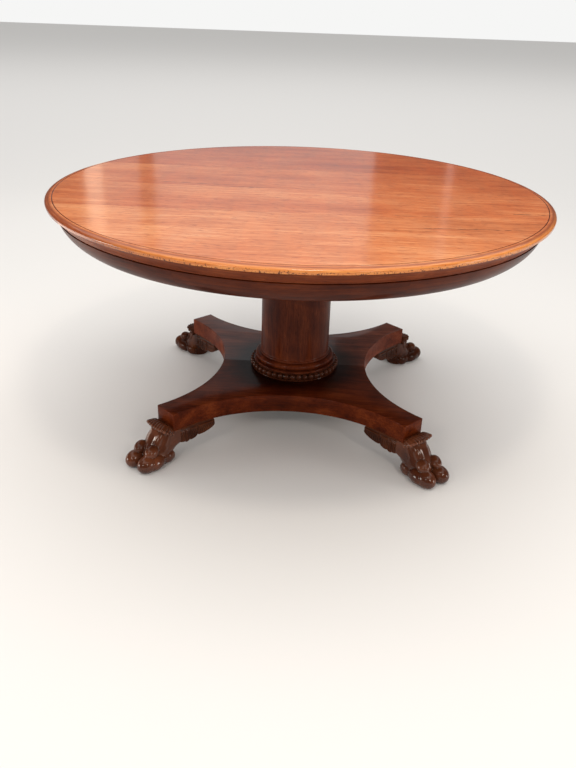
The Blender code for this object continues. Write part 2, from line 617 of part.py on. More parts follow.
def make_feet():
    paw = paw_foot_mesh()
    leaves = {side: leaf_bracket_mesh(side) for side in (-1, 1)}
    screw_profile = countersunk_profile(**FOOT_SCREW, under=FOOT_SCREW_HEAD_Z)
    for arm, angle in ARM_ANGLES.items():
        turn = radians(angle)
        foot = add_object(f"paw_foot_{arm}", paw, CARVED_MAHOGANY)
        foot.rotation_euler.z = turn
        for side, mesh in leaves.items():
            faces_front_or_back = (angle + side * 45) % 180 == 90
            edge = arm.split("_")[0] if faces_front_or_back else arm.split("_")[1]
            leaf = add_object(f"leaf_bracket_{arm}_{edge}_edge", mesh, CARVED_MAHOGANY)
            leaf.rotation_euler.z = turn
        screw = turned_piece(f"foot_screw_{arm}", screw_profile, STEEL, 12)
        screw.location = Matrix.Rotation(turn, 3, "Z") @ Vector((FOOT_SCREW_DISTANCE, 0, 0))


make_boards()
make_ring("cove_moulding", cove_profile(), 4, RING_STEPS // 4, FRIEZE_MAHOGANY, radians(45))
make_ring("frieze_block", frieze_profile(), 8, RING_STEPS // 8, FRIEZE_MAHOGANY, radians(22.5))
make_bearers()
make_tilt_block()
make_catch()
make_column()
make_tie_bolt()
make_platform()
make_feet()
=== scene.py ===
from math import asin, atan2, cos, pi, radians, sin, sqrt

import bmesh
import bpy
from mathutils import Matrix, Vector


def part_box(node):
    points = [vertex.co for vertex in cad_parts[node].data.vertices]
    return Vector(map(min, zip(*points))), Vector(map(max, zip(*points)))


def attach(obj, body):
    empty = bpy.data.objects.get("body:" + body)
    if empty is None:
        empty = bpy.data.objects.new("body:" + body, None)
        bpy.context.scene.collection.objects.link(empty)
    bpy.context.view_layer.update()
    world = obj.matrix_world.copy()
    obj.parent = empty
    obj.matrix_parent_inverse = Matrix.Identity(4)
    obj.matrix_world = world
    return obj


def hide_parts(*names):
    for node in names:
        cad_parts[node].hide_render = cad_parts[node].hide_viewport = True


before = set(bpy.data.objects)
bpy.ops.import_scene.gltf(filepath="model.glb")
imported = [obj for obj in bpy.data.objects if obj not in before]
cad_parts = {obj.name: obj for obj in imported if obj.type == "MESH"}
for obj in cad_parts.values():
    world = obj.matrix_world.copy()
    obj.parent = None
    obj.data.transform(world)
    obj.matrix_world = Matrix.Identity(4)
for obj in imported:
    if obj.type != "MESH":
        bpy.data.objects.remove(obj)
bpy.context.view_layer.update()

print("frame loaded:", len(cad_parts), "nodes")


def hexColour(code):
    # sRGB hex to the linear colour that a shader wants
    channels = [int(code[i:i + 2], 16) / 255 for i in (1, 3, 5)]
    return [c / 12.92 if c <= 0.04045 else ((c + 0.055) / 1.055) ** 2.4 for c in channels] + [1.0]


# ways of mixing two colours in a shader
mixing = {"data_type": "RGBA"}
multiplying = {"data_type": "RGBA", "blend_type": "MULTIPLY"}
softening = {"data_type": "RGBA", "blend_type": "SOFT_LIGHT"}
# and of joining two values
scaling = {"operation": "MULTIPLY"}
gathering = {"operation": "MULTIPLY_ADD"}


def addNode(tree, kind, settings=None, inputs=None):
    # settings are the node's own properties, inputs are values or sockets to link
    node = tree.nodes.new("ShaderNode" + kind)
    for key, value in (settings or {}).items():
        if key == "stops":
            ramp = node.color_ramp.elements
            while len(ramp) < len(value):
                ramp.new(0.5)
            for element, (place, code) in zip(ramp, value):
                element.position = place
                element.color = hexColour(code)
        else:
            setattr(node, key, value)
    for key, value in (inputs or {}).items():
        if isinstance(value, bpy.types.NodeSocket):
            tree.links.new(value, node.inputs[key])
        else:
            node.inputs[key].default_value = hexColour(value) if isinstance(value, str) else value
    return node


def startMaterial(name, **values):
    material = bpy.data.materials.new(name)
    material.use_nodes = True
    tree = material.node_tree
    shader = tree.nodes["Principled BSDF"]
    for key, value in values.items():
        shader.inputs[key.replace("_", " ")].default_value = value
    return material, tree, shader


def finishPiece(bm, name, body, materials, nodes, sharp=35, place=None):
    # turned outwards, put in place in its mesh, and tied to the frame
    if place is not None:
        bmesh.ops.transform(bm, matrix=place, verts=bm.verts)
    bmesh.ops.recalc_face_normals(bm, faces=bm.faces)
    mesh = bpy.data.meshes.new(name)
    bm.to_mesh(mesh)
    bm.free()
    for material in materials:
        mesh.materials.append(material)
    mesh.shade_smooth()
    mesh.set_sharp_from_angle(angle=radians(sharp))
    piece = bpy.data.objects.new(name, mesh)
    bpy.context.scene.collection.objects.link(piece)
    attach(piece, body)
    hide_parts(*nodes)
    return piece


def spinProfile(bm, profile, steps, start=0.0, sweep=2 * pi, closed=False):
    # a section of (radius, height) carried round the table's axis
    full = abs(sweep - 2 * pi) < 0.0001
    turn = Matrix.Rotation(start, 4, "Z")
    verts = [bm.verts.new(turn @ Vector((r, 0, z))) for r, z in profile]
    edges = [bm.edges.new(pair) for pair in zip(verts, verts[1:])]
    if closed:
        edges.append(bm.edges.new((verts[-1], verts[0])))
    geom = edges
    if closed and not full:
        geom = [bm.faces.new(verts)]          # a solid block keeps its section as its end
    bmesh.ops.spin(bm, geom=geom, cent=(0, 0, 0), axis=(0, 0, 1), angle=sweep, steps=steps, use_merge=full)
    bmesh.ops.remove_doubles(bm, verts=bm.verts, dist=0.00002)


def arcPoints(centre, radii, first, last, steps):
    # points of an ellipse arc, angles in degrees
    for i in range(steps + 1):
        a = radians(first + (last - first) * i / steps)
        yield centre[0] + radii[0] * cos(a), centre[1] + radii[1] * sin(a)


def layRingGrain(piece, middle):
    # UV in metres: u along the ring from the piece's middle, v up the section
    uv = piece.data.uv_layers.new(name="grain")
    for loop in piece.data.loops:
        co = piece.data.vertices[loop.vertex_index].co
        away = (atan2(co.y, co.x) - middle + pi) % (2 * pi) - pi
        uv.data[loop.index].uv = (away * 0.72, co.z + 0.6 * sqrt(co.x ** 2 + co.y ** 2))


topWood = {
    "groove": (0.7226, 0.7254),     # incised line, filled with old wax and dirt
    "stripeWidth": 0.055,           # colour bands of the sawn board
    "fibreWidth": 0.0085,
    "poreWidth": 0.0026,            # real pores are 0.2 mm, drawn coarser so that they show
    "figureLength": 0.040,          # ripple across the grain
    "waveHeight": 0.016,            # how far the grain wanders sideways
    # colours of the rounded edge: painted shade round the sides, painted light at the front
    "shadedEdgeTones": ((0.30, "#7A3416"), (0.5, "#8E441E"), (0.72, "#A4572B")),
    "litFrontTones": ((0.30, "#B8642A"), (0.5, "#CC7C3A"), (0.72, "#DC934E")),
}


def boardCoordinates(tree, shift, waver):
    # grain along X: the pattern's y wanders slowly, so the lines are never straight
    point = addNode(tree, "TexCoord").outputs["Object"]
    moved = addNode(tree, "Mapping", None, {"Vector": point, "Location": shift}).outputs["Vector"]
    drift = addNode(tree, "TexNoise", None, {"Vector": moved, "Scale": 2.6, "Detail": 2.0,
                                             "Roughness": 0.45})
    centred = addNode(tree, "VectorMath", {"operation": "SUBTRACT"},
                      {0: drift.outputs["Color"], 1: (0.5, 0.5, 0.5)})
    sideways = addNode(tree, "VectorMath", {"operation": "MULTIPLY"},
                       {0: centred.outputs[0], 1: (0.0, waver * 4, waver * 2)})
    return point, addNode(tree, "VectorMath", None, {0: moved, 1: sideways.outputs[0]}).outputs[0]


def grainNoise(tree, vector, length, width, detail=3.0, rough=0.55):
    # one noise drawn out along X: length and width are its real size in metres
    scale = (1 / length, 1 / width, 1 / width)
    stretched = addNode(tree, "Mapping", None, {"Vector": vector, "Scale": scale}).outputs["Vector"]
    return addNode(tree, "TexNoise", None, {"Vector": stretched, "Scale": 1.0, "Detail": detail,
                                            "Roughness": rough}).outputs["Fac"]


def windowMask(tree, value, low, high, soft):
    # 1 between low and high, fading over soft at both ends
    rise = addNode(tree, "MapRange", {"interpolation_type": "SMOOTHSTEP"},
                   {"Value": value, "From Min": low - soft, "From Max": low + soft})
    fall = addNode(tree, "MapRange", {"interpolation_type": "SMOOTHSTEP"},
                   {"Value": value, "From Min": high - soft, "From Max": high + soft,
                    "To Min": 1.0, "To Max": 0.0})
    return addNode(tree, "Math", scaling, {0: rise.outputs[0], 1: fall.outputs[0]}).outputs[0]


def boardMaterial(number, shift, tones, marks):
    # French-polished mahogany: warm orange-brown under a thin hard gloss, open pores showing as
    # short dark dashes, wax and dirt in the incised line, bruises along the moulded edge
    material, tree, shader = startMaterial(f"french_polished_mahogany_board_{number}",
                                           Roughness=0.42, IOR=1.5, Coat_Weight=0.9,
                                           Coat_Roughness=0.14, Coat_IOR=1.5, Specular_IOR_Level=0.1)
    point, along = boardCoordinates(tree, shift, topWood["waveHeight"])
    stripes = grainNoise(tree, along, 0.9, topWood["stripeWidth"], 3.0)
    fibres = grainNoise(tree, along, 0.16, topWood["fibreWidth"], 5.0, 0.65)
    pores = grainNoise(tree, along, 0.030, topWood["poreWidth"], 1.0)
    figure = grainNoise(tree, along, topWood["figureLength"], 0.22, 2.0)

    clouds = addNode(tree, "TexNoise", None, {"Vector": along, "Scale": 3.4, "Detail": 4.0}).outputs["Fac"]
    blend = 0.0
    for pattern, share in ((stripes, 0.26), (fibres, 0.44), (clouds, 0.30)):
        blend = addNode(tree, "Math", gathering, {0: pattern, 1: share, 2: blend}).outputs[0]
    blend = addNode(tree, "MapRange", None, {"Value": blend, "From Min": 0.38, "From Max": 0.62}).outputs[0]
    colour = addNode(tree, "ValToRGB", {"stops": tones}, {"Fac": blend}).outputs["Color"]
    ripple = addNode(tree, "MapRange", None, {"Value": figure, "From Min": 0.35, "From Max": 0.65,
                                              "To Min": 0.0, "To Max": 0.22}).outputs[0]
    colour = addNode(tree, "Mix", softening, {0: ripple, 6: colour, 7: "#F3C08C"}).outputs[2]
    poreMask = addNode(tree, "MapRange", None, {"Value": pores, "From Min": 0.60, "From Max": 0.70,
                                                "To Max": 0.62}).outputs[0]
    colour = addNode(tree, "Mix", multiplying, {0: poreMask, 6: colour, 7: "#8C4220"}).outputs[2]

    split = addNode(tree, "SeparateXYZ", None, {"Vector": point}).outputs
    wander = addNode(tree, "TexNoise", None, {"Vector": point, "Scale": 16.0, "Detail": 3.0}).outputs["Fac"]
    crookedY = addNode(tree, "Math", gathering, {0: wander, 1: 0.012, 2: split["Y"]}).outputs[0]
    broken = addNode(tree, "TexNoise", None, {"Vector": point, "Scale": 38.0, "Detail": 4.0}).outputs["Fac"]
    broken = addNode(tree, "MapRange", None, {"Value": broken, "From Min": 0.38,
                                              "From Max": 0.56}).outputs[0]
    for x0, x1, y, lean, width, strength in marks:
        leaned = addNode(tree, "Math", gathering, {0: split["X"], 1: -lean, 2: crookedY}).outputs[0]
        line = windowMask(tree, leaned, y - width + 0.006, y + width + 0.006, width * 0.9)
        reach = windowMask(tree, split["X"], x0, x1, 0.03)
        for limit in (reach, broken, strength):
            line = addNode(tree, "Math", scaling, {0: line, 1: limit}).outputs[0]
        colour = addNode(tree, "Mix", mixing, {0: line, 6: colour, 7: "#4E1E0C"}).outputs[2]

    flat = addNode(tree, "CombineXYZ", None, {"X": split["X"], "Y": split["Y"]}).outputs[0]
    radius = addNode(tree, "VectorMath", {"operation": "LENGTH"}, {0: flat}).outputs["Value"]
    # the rounded edge: painted shade makes it darker red-brown round the sides, painted light makes it
    # golden at the front
    edge = addNode(tree, "MapRange", None, {"Value": radius, "From Min": 0.7275,
                                            "From Max": 0.7345}).outputs[0]
    bearing = addNode(tree, "Math", {"operation": "ARCTAN2"}, {0: split["Y"], 1: split["X"]}).outputs[0]
    edgePoint = addNode(tree, "CombineXYZ", None, {"X": bearing, "Y": split["Z"], "Z": radius}).outputs[0]
    edgeFibre = grainNoise(tree, edgePoint, 0.07, 0.0022, 3.0)
    old = addNode(tree, "ValToRGB", {"stops": topWood["shadedEdgeTones"]}, {"Fac": edgeFibre}).outputs["Color"]
    litEdge = addNode(tree, "ValToRGB", {"stops": topWood["litFrontTones"]}, {"Fac": edgeFibre}).outputs["Color"]
    # painted light: the front of the edge, facing the front lamps, turns golden lower down its curve
    front = windowMask(tree, bearing, -2.10, -0.30, 0.30)
    fall = addNode(tree, "MapRange", None, {"Value": split["Z"], "From Min": 0.7352,
                                            "From Max": 0.7325}).outputs[0]
    lightened = addNode(tree, "Math", scaling, {0: front, 1: fall}).outputs[0]
    litAndShadedEdge = addNode(tree, "Mix", mixing, {0: lightened, 6: old, 7: litEdge}).outputs[2]
    colour = addNode(tree, "Mix", mixing, {0: edge, 6: colour, 7: litAndShadedEdge}).outputs[2]
    groove = windowMask(tree, radius, *topWood["groove"], 0.0006)
    colour = addNode(tree, "Mix", mixing, {0: groove, 6: colour, 7: "#5A200C"}).outputs[2]
    bruises = addNode(tree, "TexNoise", None, {"Vector": point, "Scale": 210.0, "Detail": 4.0,
                                               "Roughness": 0.7}).outputs["Fac"]
    low = addNode(tree, "MapRange", None, {"Value": split["Z"], "From Min": 0.7330, "From Max": 0.7235,
                                           "To Min": 0.0, "To Max": 0.13}).outputs[0]
    bruised = addNode(tree, "Math", None, {0: bruises, 1: low}).outputs[0]
    bruised = addNode(tree, "MapRange", None, {"Value": bruised, "From Min": 0.66,
                                               "From Max": 0.72}).outputs[0]
    bruised = addNode(tree, "Math", scaling, {0: bruised, 1: edge}).outputs[0]
    colour = addNode(tree, "Mix", mixing, {0: bruised, 6: colour, 7: "#4A1D0A"}).outputs[2]
    tree.links.new(colour, shader.inputs["Base Color"])

    smear = addNode(tree, "TexNoise", None, {"Vector": point, "Scale": 7.0, "Detail": 3.0}).outputs["Fac"]
    rough = addNode(tree, "MapRange", None, {"Value": smear, "To Min": 0.34, "To Max": 0.50}).outputs[0]
    tree.links.new(rough, shader.inputs["Roughness"])
    sag = addNode(tree, "TexNoise", None, {"Vector": point, "Scale": 9.0, "Detail": 1.0}).outputs["Fac"]
    sagBump = addNode(tree, "Bump", None, {"Height": sag, "Strength": 0.10, "Distance": 0.006}).outputs[0]
    fineBump = addNode(tree, "Bump", None, {"Height": fibres, "Strength": 0.16, "Distance": 0.0008,
                                            "Normal": sagBump}).outputs[0]
    tree.links.new(fineBump, shader.inputs["Normal"])
    tree.links.new(sagBump, shader.inputs["Coat Normal"])
    return material


def darkMahogany(name, tones, scaleAlong, coords="Object", upright=False, columnShadowAndMattSides=False, **values):
    # polished dark mahogany: deep red-brown with soft lighter flames, a rubbed gloss
    finish = {"Roughness": 0.34, "IOR": 1.5, "Coat_Weight": 0.16, "Coat_Roughness": 0.12,
              "Specular_IOR_Level": 0.04, **values}
    material, tree, shader = startMaterial(name, **finish)
    if coords == "Object":
        point, along = boardCoordinates(tree, (3.1, 1.7, 0.4), 0.02)
    else:
        point = along = addNode(tree, "UVMap", {"uv_map": coords}).outputs["UV"]
    if upright:       # the log stood on end: its length runs along Z
        along = addNode(tree, "Mapping", None, {"Vector": along,
                                                "Rotation": (0, radians(90), 0)}).outputs[0]
    stripes = grainNoise(tree, along, scaleAlong, 0.035, 4.0)
    fibres = grainNoise(tree, along, scaleAlong * 0.3, 0.006, 5.0, 0.65)
    flames = addNode(tree, "TexNoise", None, {"Vector": point, "Scale": 6.5, "Detail": 3.0,
                                              "Distortion": 1.6}).outputs["Fac"]
    blend = 0.0
    for pattern, share in ((fibres, 0.35), (stripes, 0.35), (flames, 0.30)):
        blend = addNode(tree, "Math", gathering, {0: pattern, 1: share, 2: blend}).outputs[0]
    blend = addNode(tree, "MapRange", None, {"Value": blend, "From Min": 0.36, "From Max": 0.64}).outputs[0]
    colour = addNode(tree, "ValToRGB", {"stops": tones}, {"Fac": blend}).outputs["Color"]
    pores = grainNoise(tree, along, 0.022, 0.0022, 1.0)
    poreMask = addNode(tree, "MapRange", None, {"Value": pores, "From Min": 0.60, "From Max": 0.70,
                                                "To Max": 0.45}).outputs[0]
    colour = addNode(tree, "Mix", multiplying, {0: poreMask, 6: colour, 7: "#6A3A28"}).outputs[2]
    if columnShadowAndMattSides:         # painted shadow of the top and painted reflection of the dark column: the platform darkens round the column's foot
        flat = addNode(tree, "VectorMath", {"operation": "MULTIPLY"}, {0: point, 1: (1, 1, 0)}).outputs[0]
        away = addNode(tree, "VectorMath", {"operation": "LENGTH"}, {0: flat}).outputs["Value"]
        near = addNode(tree, "MapRange", {"interpolation_type": "SMOOTHSTEP"},
                       {"Value": away, "From Min": 0.270, "From Max": 0.165, "To Max": 0.9}).outputs[0]
        colour = addNode(tree, "Mix", multiplying, {0: near, 6: colour, 7: "#3A201A"}).outputs[2]
        normal = addNode(tree, "NewGeometry").outputs["Normal"]
        upward = addNode(tree, "SeparateXYZ", None, {"Vector": normal}).outputs["Z"]
        coat = addNode(tree, "MapRange", None, {"Value": upward, "From Min": 0.3, "From Max": 0.8,
                                                "To Min": 0.06, "To Max": finish["Coat_Weight"]}).outputs[0]
        tree.links.new(coat, shader.inputs["Coat Weight"])     # the sides never had the top's gloss
    tree.links.new(colour, shader.inputs["Base Color"])
    wear = addNode(tree, "TexNoise", None, {"Vector": point, "Scale": 11.0, "Detail": 4.0}).outputs["Fac"]
    rough = addNode(tree, "MapRange", None, {"Value": wear, "To Min": finish["Roughness"] - 0.08,
                                             "To Max": finish["Roughness"] + 0.10}).outputs[0]
    tree.links.new(rough, shader.inputs["Roughness"])
    bump = addNode(tree, "Bump", None, {"Height": fibres, "Strength": 0.14, "Distance": 0.0008}).outputs[0]
    tree.links.new(bump, shader.inputs["Normal"])
    return material


def carvedMahogany(name, tones, rubbedTone, coat):
    # hand-carved mahogany under many coats of polish: painted shade makes it near-black in the hollows,
    # rubbed red-brown on the high parts, wet-looking highlights
    material, tree, shader = startMaterial(name, Roughness=0.30, IOR=1.5, Coat_Weight=coat,
                                           Coat_Roughness=0.10, Specular_IOR_Level=0.06)
    point = addNode(tree, "TexCoord").outputs["Object"]
    mottle = addNode(tree, "TexNoise", None, {"Vector": point, "Scale": 18.0, "Detail": 3.0,
                                              "Roughness": 0.5}).outputs["Fac"]
    colour = addNode(tree, "ValToRGB", {"stops": tones}, {"Fac": mottle}).outputs["Color"]
    height = addNode(tree, "NewGeometry").outputs["Pointiness"]
    lightened = addNode(tree, "MapRange", None, {"Value": height, "From Min": 0.505, "From Max": 0.56,
                                              "To Max": 0.5}).outputs[0]
    colour = addNode(tree, "Mix", mixing, {0: lightened, 6: colour, 7: rubbedTone}).outputs[2]
    # painted shade: the hollows darken towards near-black
    hollow = addNode(tree, "MapRange", None, {"Value": height, "From Min": 0.495, "From Max": 0.44,
                                              "To Max": 0.75}).outputs[0]
    colour = addNode(tree, "Mix", mixing, {0: hollow, 6: colour, 7: "#140704"}).outputs[2]
    tree.links.new(colour, shader.inputs["Base Color"])
    knife = addNode(tree, "TexNoise", None, {"Vector": point, "Scale": 150.0, "Detail": 2.0}).outputs["Fac"]
    rough = addNode(tree, "MapRange", None, {"Value": mottle, "To Min": 0.20, "To Max": 0.36}).outputs[0]
    tree.links.new(rough, shader.inputs["Roughness"])
    bump = addNode(tree, "Bump", None, {"Height": knife, "Strength": 0.07, "Distance": 0.0010}).outputs[0]
    tree.links.new(bump, shader.inputs["Normal"])
    return material


def rawTimber(name, tones, roughness):
    # sawn and planed timber that never saw polish: dull, dry, with dark dust in the grain
    material, tree, shader = startMaterial(name, Roughness=roughness, IOR=1.45, Specular_IOR_Level=0.25)
    point, along = boardCoordinates(tree, (0.7, 2.2, 1.1), 0.012)
    fibres = grainNoise(tree, along, 0.20, 0.007, 5.0, 0.6)
    saw = grainNoise(tree, point, 0.004, 0.30, 2.0)       # faint marks across the grain
    stain = addNode(tree, "TexNoise", None, {"Vector": point, "Scale": 4.5, "Detail": 4.0}).outputs["Fac"]
    blend = 0.0
    for pattern, share in ((fibres, 0.6), (stain, 0.4)):
        blend = addNode(tree, "Math", gathering, {0: pattern, 1: share, 2: blend}).outputs[0]
    colour = addNode(tree, "ValToRGB", {"stops": tones}, {"Fac": blend}).outputs["Color"]
    tree.links.new(colour, shader.inputs["Base Color"])
    sawBump = addNode(tree, "Bump", None, {"Height": saw, "Strength": 0.15, "Distance": 0.001}).outputs[0]
    bump = addNode(tree, "Bump", None, {"Height": fibres, "Strength": 0.3, "Distance": 0.001,
                                        "Normal": sawBump}).outputs[0]
    tree.links.new(bump, shader.inputs["Normal"])
    return material


def agedMetal(name, tones, roughness):
    # cast or turned metal gone dull: bright only where hands or a screwdriver rub it
    material, tree, shader = startMaterial(name, Metallic=1.0, Roughness=roughness)
    point = addNode(tree, "TexCoord").outputs["Object"]
    tarnish = addNode(tree, "TexNoise", None, {"Vector": point, "Scale": 120.0,
                                               "Detail": 5.0}).outputs["Fac"]
    colour = addNode(tree, "ValToRGB", {"stops": tones}, {"Fac": tarnish}).outputs["Color"]
    tree.links.new(colour, shader.inputs["Base Color"])
    rough = addNode(tree, "MapRange", None, {"Value": tarnish, "To Min": roughness - 0.15,
                                             "To Max": roughness + 0.2}).outputs[0]
    tree.links.new(rough, shader.inputs["Roughness"])
    bump = addNode(tree, "Bump", None, {"Height": tarnish, "Strength": 0.12, "Distance": 0.0005}).outputs[0]
    tree.links.new(bump, shader.inputs["Normal"])
    return material


rawMahogany = rawTimber("planed_unpolished_mahogany",
                        ((0.3, "#4A2A1A"), (0.5, "#6E4228"), (0.72, "#8A5838")), 0.75)
plainDeal = rawTimber("planed_deal", ((0.3, "#6A4A2C"), (0.5, "#8E683F"), (0.72, "#AA8454")), 0.7)
friezeVeneer = darkMahogany("polished_mahogany_veneer_frieze",
                            ((0.1, "#321006"), (0.5, "#471A08"), (0.9, "#5E280F")), 0.30, coords="grain",
                            Coat_Weight=0.20, Coat_Roughness=0.09)
coveMahogany = darkMahogany("polished_mahogany_moulding",
                            ((0.1, "#542008"), (0.5, "#6C2E10"), (0.9, "#84401C")), 0.30, coords="grain",
                            Coat_Weight=0.24, Coat_Roughness=0.10)
columnMahogany = darkMahogany("polished_mahogany_column",
                              ((0.1, "#36120A"), (0.5, "#4C1E0D"), (0.9, "#622C15")), 0.35, upright=True,
                              Coat_Weight=0.10, Coat_Roughness=0.16)
platformFrontWood = darkMahogany("polished_mahogany_platform_front",
                                 ((0.1, "#3A1206"), (0.5, "#521E09"), (0.9, "#6A2E12")), 0.30, columnShadowAndMattSides=True)
platformBackWood = darkMahogany("polished_mahogany_platform_back",
                                ((0.1, "#45190D"), (0.5, "#602A18"), (0.9, "#783C26")), 0.30,
                                columnShadowAndMattSides=True, Coat_Weight=0.6)
pawWood = carvedMahogany("carved_polished_mahogany_paws",
                         ((0.3, "#3A1A10"), (0.52, "#502816"), (0.75, "#6C3A24")), "#8A5238", 0.80)
# darker copies of the paw finish as painted shade: the leaves and back paws under the top, and the collar
# in deeper painted shadow
shadedCarvedWood = carvedMahogany("carved_mahogany_painted_shade",
                          ((0.3, "#2A1006"), (0.52, "#3C1909"), (0.75, "#542A12")), "#64351A", 0.22)
deepShadeCollarWood = carvedMahogany("carved_mahogany_collar_painted_shadow",
                            ((0.3, "#1C0A05"), (0.52, "#2A1108"), (0.75, "#3E1D10")), "#4E2616", 0.35)
agedBrass = agedMetal("aged_cast_brass", ((0.3, "#6E5126"), (0.6, "#B08A45"), (0.8, "#CFA95C")), 0.38)
dullSteel = agedMetal("dull_wrought_steel", ((0.3, "#3A3836"), (0.6, "#6B6865"), (0.8, "#8E8B86")), 0.5)
print("materials made")


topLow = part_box("top_board_2")[0]
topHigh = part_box("top_board_2")[1]
top = {
    "height": topHigh.z,
    "underside": topLow.z,
    "radius": topHigh.x,
    "thumbInset": 0.0195,
    "thumbDrop": 0.0085,
    "grooveRadius": 0.7240,
    "grooveWidth": 0.0026,
    "grooveDepth": 0.0014,
    "steps": 288,
}


def topProfile():
    z, under, radius = top["height"], top["underside"], top["radius"]
    groove, half = top["grooveRadius"], top["grooveWidth"] / 2
    yield from ((0.0, z), (0.24, z), (0.48, z), (0.66, z))
    yield from arcPoints((groove, z), (half, -top["grooveDepth"]), 180, 0, 6)
    inner = radius - top["thumbInset"]
    yield from arcPoints((inner, z - top["thumbDrop"]), (top["thumbInset"], top["thumbDrop"]), 88, 0, 12)
    yield from arcPoints((radius - 0.0021, under + 0.0014), (0.0012, 0.0014), 0, -90, 4)
    yield from ((0.70, under), (0.40, under), (0.0, under))


boardTones = (
    ((0.0, "#B05E30"), (0.4, "#C67444"), (0.7, "#D28454"), (1.0, "#DE9868")),
    ((0.0, "#AA5426"), (0.4, "#C06838"), (0.7, "#CC7847"), (1.0, "#D88B5A")),
    ((0.0, "#A44C1E"), (0.4, "#BA602F"), (0.7, "#C8703E"), (1.0, "#D48250")),
    ((0.0, "#9A4014"), (0.4, "#B05322"), (0.7, "#BE6230"), (1.0, "#CC7340")),
)
# old cracks and mineral streaks: from x, to x, y, lean, half width, strength
boardMarks = (
    ((0.33, 0.58, -0.398, 0.06, 0.0026, 0.95), (0.24, 0.44, -0.425, 0.05, 0.0016, 0.6),
     (-0.40, -0.10, -0.287, 0.0, 0.0016, 0.7), (0.44, 0.66, -0.345, 0.08, 0.0016, 0.5)),
    ((0.55, 0.70, -0.228, 0.05, 0.0028, 0.9), (0.26, 0.42, -0.272, 0.03, 0.0022, 0.9),
     (0.42, 0.66, -0.120, 0.05, 0.0018, 0.45), (-0.45, -0.12, -0.008, -0.04, 0.0030, 0.95)),
    ((-0.46, -0.22, 0.010, -0.05, 0.0024, 0.8), (-0.2, 0.15, 0.008, 0.0, 0.0014, 0.5),
     (0.56, 0.72, 0.012, 0.03, 0.0022, 0.5)),
    ((-0.6, 0.6, 0.292, 0.0, 0.0016, 0.5),),
)
boardShifts = ((0.0, 0.0, 0.0), (2.3, 0.41, 0.9), (4.9, -0.37, 1.7), (7.1, 0.63, 2.6))


def makeBoards():
    whole = bmesh.new()
    spinProfile(whole, list(topProfile()), top["steps"])
    wholeMesh = bpy.data.meshes.new("round_top")
    whole.to_mesh(wholeMesh)
    whole.free()
    for number in (1, 2, 3, 4):
        node = f"top_board_{number}"
        low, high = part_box(node)
        bm = bmesh.new()
        bm.from_mesh(wholeMesh)
        for y, outward in ((low.y, -1), (high.y, 1)):
            if abs(y) > top["radius"] - 0.01:
                continue
            cut = bmesh.ops.bisect_plane(bm, geom=bm.verts[:] + bm.edges[:] + bm.faces[:],
                                         plane_co=(0, y, 0), plane_no=(0, outward, 0),
                                         clear_outer=True)["geom_cut"]
            rim = [item for item in cut if isinstance(item, bmesh.types.BMEdge)]
            bmesh.ops.contextual_create(bm, geom=rim)
        for face in bm.faces:
            if face.calc_center_median().z < top["underside"] + 0.0001:
                face.material_index = 1
        i = number - 1
        polish = boardMaterial(number, boardShifts[i], boardTones[i], boardMarks[i])
        finishPiece(bm, f"polished_board_{number}", "table_top",
                    [polish, rawMahogany], [node])
    bpy.data.meshes.remove(wholeMesh)


ring = {
    "coveTop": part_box("cove_moulding_1")[1].z,
    "coveBottom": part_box("cove_moulding_1")[0].z,
    "inner": 0.650,
    "lip": 0.7375,
    "foot": 0.7165,
    "filletHeight": 0.0054,
    "friezeTop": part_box("frieze_block_1")[1].z,
    "friezeBottom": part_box("frieze_block_1")[0].z,
    "swellCentre": (0.6268, 0.7141),
    "swellRadius": 0.0927,
    "coveSteps": 72,
    "friezeSteps": 36,
}


def coveProfile():
    high, low, lip, foot = ring["coveTop"], ring["coveBottom"], ring["lip"], ring["foot"]
    fillet = low + ring["filletHeight"]
    yield from ((ring["inner"], high), (lip - 0.0006, high), (lip, high - 0.0006), (lip, high - 0.0022))
    yield from arcPoints((lip + 0.0004, fillet + 0.0008), (foot - lip, high - 0.0030 - fillet), 84, 4, 12)
    yield from ((foot + 0.0006, fillet + 0.0006), (foot + 0.0006, fillet), (foot - 0.0020, fillet - 0.0004))
    yield from ((foot - 0.0020, low + 0.0016), (foot - 0.0034, low + 0.0004), (foot - 0.0050, low))
    yield (ring["inner"], low)


def friezeProfile():
    r, z = ring["swellCentre"]
    swell, high, low = ring["swellRadius"], ring["friezeTop"], ring["friezeBottom"]
    first = -asin((z - high + 0.0012) / swell)
    last = -asin((z - low - 0.0014) / swell)
    yield from ((ring["inner"], high), (r + swell * cos(first) - 0.0012, high))
    for i in range(17):
        a = first + (last - first) * i / 16
        yield r + swell * cos(a), z + swell * sin(a)
    yield from ((r + swell * cos(last) - 0.0020, low), (ring["inner"], low))


def makeRing(prefix, newPrefix, profile, count, firstJoint, steps, materials):
    hairline = 0.0003 / 0.7                      # the joint between two blocks
    for number in range(1, count + 1):
        start = firstJoint + 2 * pi * (number - 1) / count + hairline / 2
        sweep = 2 * pi / count - hairline
        bm = bmesh.new()
        spinProfile(bm, list(profile()), steps, start, sweep, closed=True)
        for face in bm.faces:
            centre = face.calc_center_median()
            inside = sqrt(centre.x ** 2 + centre.y ** 2) < ring["inner"] + 0.002
            face.material_index = 1 if inside else 0
        piece = finishPiece(bm, f"{newPrefix}_{number}", "table_top", materials,
                            [f"{prefix}_{number}"], sharp=28)
        layRingGrain(piece, start + sweep / 2)


column = {
    "radius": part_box("column_shaft")[1].x,
    "top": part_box("column_shaft")[1].z,
    "foot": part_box("torus_moulding")[1].z + 0.0003,
    "tenon": 0.0950,
    "bore": 0.0085,
    "floor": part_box("column_shaft")[0].z,
    "torusRadius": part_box("torus_moulding")[1].x,
    "torusFoot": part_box("torus_moulding")[0].z,
    "collarRadius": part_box("beaded_collar")[1].x,
    "collarTop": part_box("beaded_collar")[1].z,
    "collarFoot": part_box("beaded_collar")[0].z,
    "beads": 44,
    "steps": 144,
}


